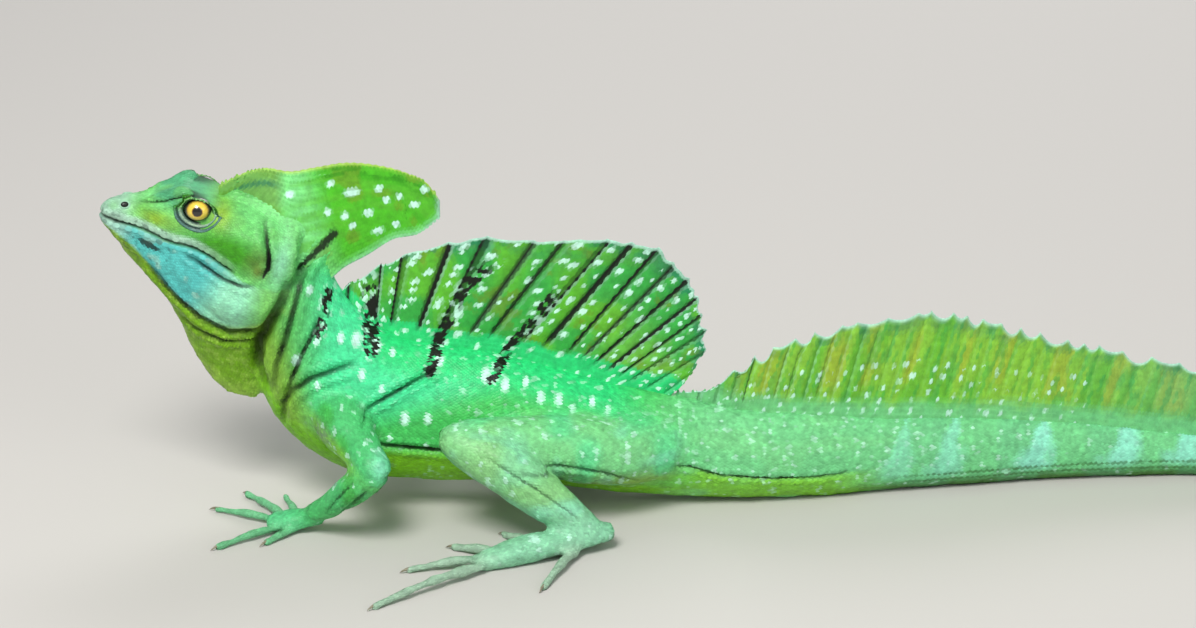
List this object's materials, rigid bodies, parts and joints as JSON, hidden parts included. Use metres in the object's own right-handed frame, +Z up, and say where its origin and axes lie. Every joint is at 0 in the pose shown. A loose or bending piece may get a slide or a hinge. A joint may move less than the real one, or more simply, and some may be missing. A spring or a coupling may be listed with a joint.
{
  "type": "green basilisk lizard",
  "caption": "Life-size still model of a green basilisk, an adult male with crests on head, back and tail, standing on all fours with its tail laid along the floor.",
  "frame": {"origin": "on the floor, under the middle of the whole animal's box", "axes": "-X towards the snout, -Y towards the animal's left side, +Z up"},
  "size_m": [0.694, 0.2018, 0.1202],
  "materials": {
    "skin": "green scaly skin with white flecks, satin",
    "face": "green scaly skin with a blue-green jaw, satin",
    "throat": "loose yellow-green skin",
    "crest": "thin green membrane over rays",
    "eye": "golden iris under a clear wet cornea"
  },
  "bodies": {
    "root": {"head": "face", "eye_left": "eye", "eye_right": "eye", "casque": "crest", "throat_pouch": "throat", "neck": "skin", "torso": "skin", "back_crest": "crest", "tail_base": "skin", "tail_middle": "skin", "tail_rear": "skin", "tail_tip": "skin", "tail_crest_front": "crest", "tail_crest_middle": "crest", "tail_crest_rear": "crest", "left_upper_arm": "skin", "left_forearm": "skin", "left_hand": "skin", "right_upper_arm": "skin", "right_forearm": "skin", "right_hand": "skin", "left_thigh": "skin", "left_shank": "skin", "left_foot": "skin", "right_thigh": "skin", "right_shank": "skin", "right_foot": "skin"}
  },
  "joints": []
}
